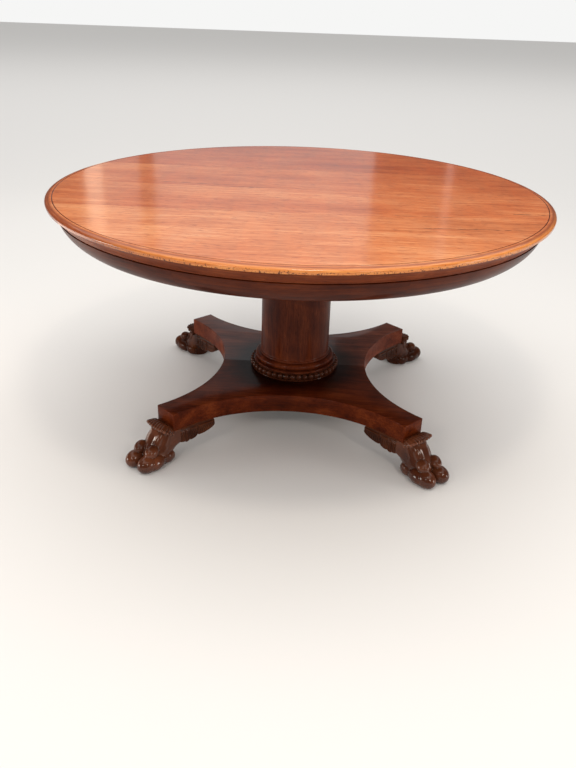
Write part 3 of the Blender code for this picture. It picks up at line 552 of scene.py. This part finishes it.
def columnProfile():
    r, foot = column["radius"], column["foot"]
    yield from ((column["bore"], column["top"]), (r - 0.0010, column["top"]), (r, column["top"] - 0.0010))
    yield from ((r, foot + 0.0110), (r + 0.0004, foot + 0.0080), (r + 0.0014, foot + 0.0060))
    yield from ((r + 0.0032, foot + 0.0052), (r + 0.0036, foot + 0.0046), (r + 0.0036, foot))
    yield from ((column["tenon"], foot), (column["tenon"], column["floor"]))
    yield (column["bore"], column["floor"])


def torusProfile():
    bore = column["tenon"] + 0.0005
    high, low, wide = column["foot"] - 0.0003, column["torusFoot"], column["torusRadius"]
    roll = low + 0.0052                     # the round roll stands on a small fillet
    middle, half = (high + roll) / 2, (high - roll) / 2
    yield from ((bore, high), (wide - 0.0130, high))
    yield from arcPoints((wide - 0.0125, middle), (0.0125, half), 86, -80, 18)
    yield from ((wide - 0.0108, roll - 0.0004), (wide - 0.0010, roll - 0.0008))
    yield from ((wide + 0.0030, roll - 0.0012), (wide + 0.0034, roll - 0.0020))
    yield from ((wide + 0.0034, low), (bore, low))


def collarProfile():
    # the core that carries the beads: a hollow between two thin lips
    bore = column["tenon"] + 0.0005
    high, low, wide = column["collarTop"], column["collarFoot"], column["collarRadius"]
    yield from ((bore, high), (wide - 0.0115, high))
    yield from ((wide - 0.0105, high - 0.0012), (wide - 0.0120, high - 0.0035))
    yield from arcPoints((wide - 0.0090, (high + low) / 2), (0.0050, 0.0070), 120, 240, 6)
    yield from ((wide - 0.0075, low + 0.0035), (wide - 0.0050, low + 0.0026))
    yield from ((wide - 0.0045, low), (bore, low))


def makeColumn():
    for name, profile, node, material in (
            ("turned_column", columnProfile, "column_shaft", columnMahogany),
            ("torus_roll", torusProfile, "torus_moulding", columnMahogany)):
        bm = bmesh.new()
        spinProfile(bm, list(profile()), column["steps"], closed=True)
        finishPiece(bm, name, "base", [material], [node], sharp=40)

    bm = bmesh.new()
    spinProfile(bm, list(collarProfile()), column["steps"], closed=True)
    middle = (column["collarTop"] + column["collarFoot"]) / 2
    for i in range(column["beads"]):
        turn = Matrix.Rotation(2 * pi * i / column["beads"], 4, "Z")
        lean = Matrix.Rotation(radians(14), 4, "Y")
        at = Matrix.Translation((column["collarRadius"] - 0.0078, 0, middle))
        egg = Matrix.Diagonal((0.0085, 0.0090, 0.0112, 1))
        bmesh.ops.create_uvsphere(bm, u_segments=12, v_segments=8, radius=1, matrix=turn @ at @ lean @ egg)
        dart = turn @ Matrix.Rotation(pi / column["beads"], 4, "Z")
        inside = Matrix.Translation((column["collarRadius"] - 0.0085, 0, middle - 0.002))
        thin = Matrix.Diagonal((0.0045, 0.0018, 0.0090, 1))
        bmesh.ops.create_uvsphere(bm, u_segments=6, v_segments=6, radius=1, matrix=dart @ (inside @ thin))
    finishPiece(bm, "carved_bead_collar", "base", [deepShadeCollarWood],
                ["beaded_collar"], sharp=50)


platform = {
    "top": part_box("platform_front")[1].z,
    "underside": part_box("platform_front")[0].z,
    "reach": 0.5194,
    "halfWidth": 0.0409,
    "waist": 0.2383,
    "arris": 0.0016,
    "sideSteps": 64,
}
armAngles = {"front_right": -45, "back_right": 45, "back_left": 135, "front_left": 225}


def sideCircle():
    # centre distance and radius of the circle that hollows each side
    near = (platform["reach"] - platform["halfWidth"]) / sqrt(2)
    far = (platform["reach"] + platform["halfWidth"]) / sqrt(2)
    distance = (near ** 2 + far ** 2 - platform["waist"] ** 2) / (2 * (far - platform["waist"]))
    return distance, distance - platform["waist"]


def makePlatform():
    distance, radius = sideCircle()
    half = asin((platform["reach"] - platform["halfWidth"]) / sqrt(2) / radius)
    whole = bmesh.new()
    for facing in (-90, 0, 90, 180):
        out = Vector((cos(radians(facing)), sin(radians(facing)), 0))
        centre = out * distance + Vector((0, 0, platform["underside"]))
        start = centre - Matrix.Rotation(half, 3, "Z") @ out * radius
        vert = whole.verts.new(start)
        bmesh.ops.spin(whole, geom=[vert], cent=centre, axis=(0, 0, 1), angle=-2 * half,
                       steps=platform["sideSteps"])
    loose = [v for v in whole.verts if len(v.link_edges) == 1]
    for vert in loose:                          # the flat ends of the arms close the outline
        if len(vert.link_edges) == 1:
            mate = min((v for v in loose if v is not vert and len(v.link_edges) == 1),
                       key=lambda v: (v.co - vert.co).length)
            whole.edges.new((vert, mate))
    bottom = bmesh.ops.contextual_create(whole, geom=whole.edges[:])["faces"]
    lifted = bmesh.ops.extrude_face_region(whole, geom=bottom, use_keep_orig=True)["geom"]
    bmesh.ops.translate(whole, verts=[v for v in lifted if isinstance(v, bmesh.types.BMVert)],
                        vec=(0, 0, platform["top"] - platform["underside"]))
    bmesh.ops.recalc_face_normals(whole, faces=whole.faces)
    arrises = [e for e in whole.edges if e.is_manifold and e.calc_face_angle() > radians(50)]
    bmesh.ops.bevel(whole, geom=arrises, offset=platform["arris"], offset_type="OFFSET", segments=3,
                    profile=0.5, affect="EDGES", material=-1)
    wholeMesh = bpy.data.meshes.new("whole_platform")
    whole.to_mesh(wholeMesh)
    whole.free()
    for word, side, material in (("front", -1, platformFrontWood), ("back", 1, platformBackWood)):
        bm = bmesh.new()
        bm.from_mesh(wholeMesh)
        cut = bmesh.ops.bisect_plane(bm, geom=bm.verts[:] + bm.edges[:] + bm.faces[:],
                                     plane_co=(0, side * 0.00015, 0), plane_no=(0, side, 0),
                                     clear_inner=True)["geom_cut"]
        bmesh.ops.contextual_create(bm, geom=[e for e in cut if isinstance(e, bmesh.types.BMEdge)])
        finishPiece(bm, f"platform_half_{word}", "base", [material],
                    [f"platform_{word}"], sharp=30)
    bpy.data.meshes.remove(wholeMesh)


leaf = {
    "inner": 0.3755,
    "back": 0.4955,
    "top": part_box("leaf_bracket_back_right_back_edge")[1].z,
    "thickness": 0.0260,
    # lobes along the lower edge: from, to (distance out), height at each, droop
    "lobes": ((0.3755, 0.4340, 0.0800, 0.0600, 0.0105), (0.4340, 0.4620, 0.0590, 0.0515, 0.0070),
              (0.4620, 0.4780, 0.0500, 0.0480, 0.0040), (0.4780, 0.4960, 0.0480, 0.0520, 0.0010)),
    "columns": 150,
    "rows": 26,
}


def leafEdge(d):
    # height of the scalloped lower edge, and how far along its lobe this place is
    for start, end, z0, z1, droop in leaf["lobes"]:
        if d <= end or end == leaf["lobes"][-1][1]:
            s = min(max((d - start) / (end - start), 0.0), 1.0)
            return z0 + (z1 - z0) * s - droop * sqrt(max(4 * s * (1 - s), 0.0)), s, end - start
    return leaf["back"], 0.0, 1.0


def leafRelief(d, up):
    # low carving: each lobe is a soft pillow with ribs that fan from the leaf's root
    _, s, length = leafEdge(d)
    pillow = sqrt(max(1 - (2 * s - 1) ** 6, 0.0)) * sqrt(max(1 - (1 - min(up / 0.28, 1.0)) ** 2, 0.0))
    ribs = length / 0.0075
    fan = abs(sin(pi * (ribs * s + 1.3 * up)))
    vein = (1 - fan) ** 3 * (1 - min(max((up - 0.45) / 0.3, 0.0), 1.0))
    ledge = min(max((up - 0.78) / 0.05, 0.0), 1.0)
    hollow = sin(pi * min(up / 0.78, 1.0)) * (1 - ledge)
    return 0.0034 * pillow * (1 - ledge) - 0.0034 * vein * pillow - 0.0022 * hollow


def makeBrackets():
    distance, radius = sideCircle()
    middle = distance / sqrt(2)
    for arm, angle in armAngles.items():
        for side in (-1, 1):
            frontOrBack = (angle + side * 45) % 180 == 90
            edge = arm.split("_")[0 if frontOrBack else 1]
            bm = bmesh.new()
            bmesh.ops.create_grid(bm, x_segments=leaf["columns"], y_segments=leaf["rows"], size=1.0)
            for vert in bm.verts:
                up = (vert.co.y + 1) / 2
                inner = leaf["inner"] + 0.0030 * up ** 2
                d = inner + (leaf["back"] - inner) * (vert.co.x + 1) / 2
                z = leafEdge(d)[0]
                wall = middle - sqrt(radius ** 2 - (d - middle) ** 2)
                vert.co = (d, side * (wall + leafRelief(d, up)), z + (leaf["top"] - z) * up)
            back = bmesh.ops.extrude_face_region(bm, geom=bm.faces[:], use_keep_orig=True)["geom"]
            for vert in (item for item in back if isinstance(item, bmesh.types.BMVert)):
                wall = middle - sqrt(radius ** 2 - (vert.co.x - middle) ** 2)
                vert.co.y = side * (wall - leaf["thickness"])
            finishPiece(bm, f"carved_leaf_{arm}_{edge}_edge", "base", [shadedCarvedWood],
                        [f"leaf_bracket_{arm}_{edge}_edge"], sharp=60,
                        place=Matrix.Rotation(radians(angle), 4, "Z"))


foot = {
    "top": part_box("platform_front")[0].z - 0.0003,
    "armFace": 0.5197,
    "back": 0.4958,
    "voxel": 0.0012,
    # rounded masses: distance out, sideways, height, three radii, lean forward in degrees
    "masses": (
        (0.5990, 0.0240, 0.0525, 0.0240, 0.0178, 0.0180, 20),    # knuckle
        (0.6200, 0.0262, 0.0222, 0.0328, 0.0258, 0.0262, 6),     # toe
        (0.5960, 0.0305, 0.0195, 0.0400, 0.0250, 0.0235, 0),     # side of the toe
        (0.5450, 0.0345, 0.0200, 0.0270, 0.0160, 0.0205, 0),     # heel pad
        (0.5640, 0.0185, 0.0720, 0.0125, 0.0125, 0.0350, -38),   # tendon to the knuckle
        (0.5690, 0.0000, 0.0700, 0.0110, 0.0120, 0.0330, -38),   # tendon between the knuckles
        (0.5440, 0.0320, 0.0640, 0.0120, 0.0085, 0.0360, -26),   # tendon down the side
    ),
    # oval slices of ankle, long at the back where it meets the leaves:
    # height, middle, half length, half width
    "slices": ((0.0000, 0.5600, 0.0480, 0.0380), (0.0120, 0.5600, 0.0520, 0.0430),
               (0.0300, 0.5560, 0.0540, 0.0430), (0.0440, 0.5440, 0.0620, 0.0430),
               (0.0560, 0.5220, 0.0780, 0.0430), (0.0680, 0.5080, 0.0840, 0.0425),
               (0.0800, 0.5020, 0.0810, 0.0415), (0.0920, 0.5000, 0.0730, 0.0410),
               (0.1020, 0.5000, 0.0660, 0.0405), (0.1090, 0.5000, 0.0580, 0.0390)),
    # the cuff's two edges from its middle to where it meets the arm: out, sideways, height
    "lip": ((0.5610, 0.0000, 0.1125), (0.5605, 0.0170, 0.1135), (0.5590, 0.0320, 0.1145),
            (0.5545, 0.0425, 0.1115), (0.5420, 0.0440, 0.1020), (0.5250, 0.0430, 0.0930)),
    "root": ((0.5360, 0.0000, 0.1185), (0.5360, 0.0130, 0.1183), (0.5345, 0.0240, 0.1175),
             (0.5310, 0.0320, 0.1140), (0.5265, 0.0360, 0.1080), (0.5220, 0.0370, 0.1000)),
    "flute": (0.0060, 0.0048),                         # half depth and half width of one flute
    "drop": (0.0056, 0.0050, 0.0056),
    "ribs": 15,
    "twist": {"front_left": 8, "front_right": -8},     # the paws turn a little towards the front
    "twistTop": 0.105,                                 # and the turn fades out over the ankle
    "twistFade": 0.05,
}


def addAnkle(bm):
    ringVerts = bmesh.ops.create_circle(bm, cap_ends=False, radius=1.0, segments=40)["verts"]
    edges = list({edge for vert in ringVerts for edge in vert.link_edges})
    bmesh.ops.contextual_create(bm, geom=edges)
    shape = [vert.co.copy() for vert in ringVerts]
    verts = ringVerts
    for i, (z, middle, long, wide) in enumerate(foot["slices"]):
        if i:
            grown = bmesh.ops.extrude_edge_only(bm, edges=edges)["geom"]
            edges = [item for item in grown if isinstance(item, bmesh.types.BMEdge)]
            fresh = [item for item in grown if isinstance(item, bmesh.types.BMVert)]
            verts = [min(fresh, key=lambda v, old=old: (v.co - old.co).length_squared) for old in verts]
        for vert, co in zip(verts, shape):
            vert.co = (middle + co.x * long, co.y * wide, z)
    bmesh.ops.contextual_create(bm, geom=edges)


def alongEdge(points, t):
    # a place on one of the cuff's edges, t from -1 to 1 across the foot
    step = min(abs(t) * (len(points) - 1), len(points) - 1.001)
    i = int(step)
    near, far = Vector(points[i]), Vector(points[i + 1])
    place = near.lerp(far, step - i)
    return Vector((place.x, place.y if t > 0 else -place.y, place.z))


def addCuff(bm):
    # a collar of slanting flutes that rolls outwards over the ankle, each ending in a round drop
    for i in range(foot["ribs"]):
        t = -1 + 2 * i / (foot["ribs"] - 1)
        root = alongEdge(foot["root"], max(min(t - 0.04, 1), -1))
        lip = alongEdge(foot["lip"], max(min(t + 0.04, 1), -1))
        slope = (lip - root).to_track_quat("Z", "Y").to_matrix().to_4x4()
        flute = Matrix.Diagonal((*foot["flute"], (lip - root).length / 2 + 0.0030, 1))
        bmesh.ops.create_uvsphere(bm, u_segments=16, v_segments=12, radius=1,
                                  matrix=Matrix.Translation((root + lip) / 2) @ slope @ flute)
        hang = Matrix.Translation(lip - Vector((0.0005, 0, 0.0010)))
        bmesh.ops.create_uvsphere(bm, u_segments=16, v_segments=12, radius=1,
                                  matrix=hang @ Matrix.Diagonal((*foot["drop"], 1)))


def carvedBlock(bm, name, voxel, rounds, boxes=()):
    # the masses are carved into one skin, smoothed, and cut to the timber they meet
    bmesh.ops.recalc_face_normals(bm, faces=bm.faces)
    mesh = bpy.data.meshes.new(name)
    bm.to_mesh(mesh)
    bm.free()
    block = bpy.data.objects.new(name, mesh)
    bpy.context.scene.collection.objects.link(block)
    skin = block.modifiers.new("skin", "REMESH")
    skin.mode = "VOXEL"
    skin.voxel_size = voxel
    soften = block.modifiers.new("soften", "SMOOTH")
    soften.factor = 0.5
    soften.iterations = rounds
    cutters = []
    for low, high in boxes:
        cutter = bmesh.new()
        size = Vector(high) - Vector(low)
        place = Matrix.Translation((Vector(low) + Vector(high)) / 2) @ Matrix.Diagonal((*size, 1))
        bmesh.ops.create_cube(cutter, size=1.0, matrix=place)
        cutterMesh = bpy.data.meshes.new("cutter")
        cutter.to_mesh(cutterMesh)
        cutter.free()
        box = bpy.data.objects.new("cutter", cutterMesh)
        bpy.context.scene.collection.objects.link(box)
        cutters.append(box)
        cut = block.modifiers.new("cut", "BOOLEAN")
        cut.operation = "DIFFERENCE"
        cut.object = box
    bpy.context.view_layer.update()
    finished = bpy.data.meshes.new_from_object(block.evaluated_get(bpy.context.evaluated_depsgraph_get()))
    for helper in [block, *cutters]:
        helperMesh = helper.data
        bpy.data.objects.remove(helper)
        bpy.data.meshes.remove(helperMesh)
    return finished


def makeFeet():
    bm = bmesh.new()
    addAnkle(bm)
    addCuff(bm)
    for d, away, z, long, wide, high, lean in foot["masses"]:
        for side in (-1, 1):
            place = (Matrix.Translation((d, side * away, z)) @ Matrix.Rotation(radians(lean), 4, "Y")
                     @ Matrix.Diagonal((long, wide, high, 1)))
            bmesh.ops.create_uvsphere(bm, u_segments=32, v_segments=20, radius=1, matrix=place)
    pawMesh = carvedBlock(bm, "paw", foot["voxel"], 2, (
        ((0.40, -0.1, foot["top"]), (foot["armFace"], 0.1, 0.2)),
        ((0.40, -0.1, -0.1), (foot["back"], 0.1, 0.2)),
        ((0.40, -0.1, -0.1), (0.75, 0.1, 0.0))))
    for arm, angle in armAngles.items():
        bm = bmesh.new()
        bm.from_mesh(pawMesh)
        heel = Vector((foot["armFace"], 0, 0))
        for vert in bm.verts:
            low = min(max((foot["twistTop"] - vert.co.z) / foot["twistFade"], 0), 1)
            out = min(max((vert.co.x - 0.50) / foot["twistFade"], 0), 1)
            twist = Matrix.Rotation(radians(foot["twist"].get(arm, 0)) * (low * out), 3, "Z")
            vert.co = heel + twist @ (vert.co - heel)
        wood = pawWood if arm.startswith("front") else shadedCarvedWood     # the back feet take the darker carved finish as painted shade
        finishPiece(bm, f"carved_paw_{arm}", "base", [wood], [f"paw_foot_{arm}"],
                    sharp=60, place=Matrix.Rotation(radians(angle), 4, "Z"))
    bpy.data.meshes.remove(pawMesh)


def dressHiddenGear():
    gear = {
        "bearer_left": plainDeal, "bearer_right": plainDeal, "tilt_block": columnMahogany,
        "platform_batten_left": plainDeal, "platform_batten_right": plainDeal,
        "pivot_pin_left": dullSteel, "pivot_pin_right": dullSteel, "tie_bolt": dullSteel,
        "tie_bolt_washer": dullSteel, "tie_bolt_nut": dullSteel, "catch_plate": agedBrass,
        "catch_bolt": agedBrass, "catch_keeper": agedBrass,
    }
    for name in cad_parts:
        if name.startswith(("bearer_screw", "foot_screw")):
            gear[name] = dullSteel
    for name, material in gear.items():
        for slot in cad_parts[name].material_slots:
            slot.material = material


makeBoards()
print("top made")
makeRing("cove_moulding", "cove_length", coveProfile, 4, radians(45), ring["coveSteps"],
         [coveMahogany, rawMahogany])
makeRing("frieze_block", "frieze_veneered_block", friezeProfile, 8, radians(22.5), ring["friezeSteps"],
         [friezeVeneer, rawMahogany])
print("cove and frieze made")
makeColumn()
makePlatform()
print("column and platform made")
makeBrackets()
makeFeet()
print("brackets and feet made")
dressHiddenGear()


def addPanel(name, place, aim, size, power, colour="#FFFFFF"):
    # power is per square metre, so a panel keeps its brightness when its size changes
    light = bpy.data.lights.new(name, "AREA")
    light.shape = "RECTANGLE"
    light.size, light.size_y = size
    light.energy = power * size[0] * size[1]
    light.color = hexColour(colour)[:3]
    lamp = bpy.data.objects.new(name, light)
    lamp.location = place
    lamp.rotation_euler = (Vector(aim) - Vector(place)).to_track_quat("-Z", "Y").to_euler()
    lamp.visible_camera = False
    bpy.context.scene.collection.objects.link(lamp)


def makeStudio():
    bm = bmesh.new()
    bmesh.ops.create_grid(bm, x_segments=2, y_segments=2, size=30.0)
    mesh = bpy.data.meshes.new("floor")
    bm.to_mesh(mesh)
    bm.free()
    floorMaterial, _, shader = startMaterial("pale_matt_floor", Roughness=0.9, Specular_IOR_Level=0.1)
    shader.inputs["Base Color"].default_value = hexColour("#DCDBDA")
    mesh.materials.append(floorMaterial)
    floor = bpy.data.objects.new("floor", mesh)
    bpy.context.scene.collection.objects.link(floor)

    world = bpy.data.worlds.new("studio")
    bpy.context.scene.world = world
    world.use_nodes = True
    tree = world.node_tree
    background = tree.nodes["Background"]
    rays = addNode(tree, "LightPath").outputs
    around = addNode(tree, "Mix", mixing, {0: rays["Is Glossy Ray"], 6: "#DDDCDA", 7: "#5A5350"})
    seen = addNode(tree, "Mix", mixing, {0: rays["Is Camera Ray"], 6: around.outputs[2], 7: "#F6F6F5"})
    tree.links.new(seen.outputs[2], background.inputs["Color"])
    background.inputs["Strength"].default_value = 1.0

    addPanel("ceiling_panel", (0, -0.4, 3.4), (0, -0.1, 0.6), (4.4, 3.6), 3.7, "#FFF8F0")
    addPanel("far_ceiling_panel", (0, 7.0, 8.0), (0, 7.0, 0), (18.0, 10.0), 2.4, "#FFFDFB")
    addPanel("overhead_lamp", (0.15, -1.2, 3.0), (0, -0.7, 0.7), (0.35, 0.35), 110.0, "#FFF2E2")
    addPanel("front_left_lamp", (-1.6, -3.3, 2.5), (0, -0.3, 0.2), (0.45, 0.45), 84.0, "#FFF4E8")
    addPanel("front_right_lamp", (1.7, -3.1, 2.5), (0, -0.3, 0.2), (0.45, 0.45), 84.0, "#FFF4E8")
    addPanel("left_window", (-3.7, -0.9, 0.48), (0, -0.3, 0.3), (1.0, 0.8), 34.0, "#FFFBF4")
    addPanel("right_window", (3.6, -1.3, 0.60), (0, -0.3, 0.3), (0.8, 0.9), 34.0, "#FFFBF4")
    addPanel("low_left_panel", (-1.85, 0.1, 0.12), (-0.55, -0.45, 0.66), (0.9, 0.45), 7.0, "#FFDCC6")
    # tall wall panels behind: their mirror images lie as broad sheens on the polished top
    addPanel("wall_panel", (-0.34, 3.0, 1.55), (-0.34, 0, 1.55), (1.52, 1.7), 1.45, "#DCE6EA")
    addPanel("wall_strip", (-1.53, 3.0, 1.55), (-1.53, 0, 1.55), (0.13, 1.7), 3.4, "#FFE9D2")
    addPanel("wall_slot", (-1.33, 3.0, 1.55), (-1.33, 0, 1.55), (0.25, 1.7), 1.15, "#DFE6EA")
    addPanel("wall_line", (0.94, 3.0, 1.55), (0.94, 0, 1.55), (0.05, 1.7), 1.2, "#FFE9E0")


def makeCamera():
    data = bpy.data.cameras.new("camera")
    data.lens = 35.36
    data.sensor_width = 36.0
    data.sensor_fit = "AUTO"
    camera = bpy.data.objects.new("camera", data)
    place = Matrix.Translation((0.0578, -2.3000, 1.2557))
    turn = Matrix.Rotation(radians(1.89), 4, "Z")
    tilt = Matrix.Rotation(radians(62.78), 4, "X")
    roll = Matrix.Rotation(radians(1.98), 4, "Z")
    camera.matrix_world = place @ turn @ tilt @ roll
    bpy.context.scene.collection.objects.link(camera)
    bpy.context.scene.camera = camera


makeStudio()
makeCamera()
bpy.context.scene.view_settings.view_transform = "Standard"
print("studio made")
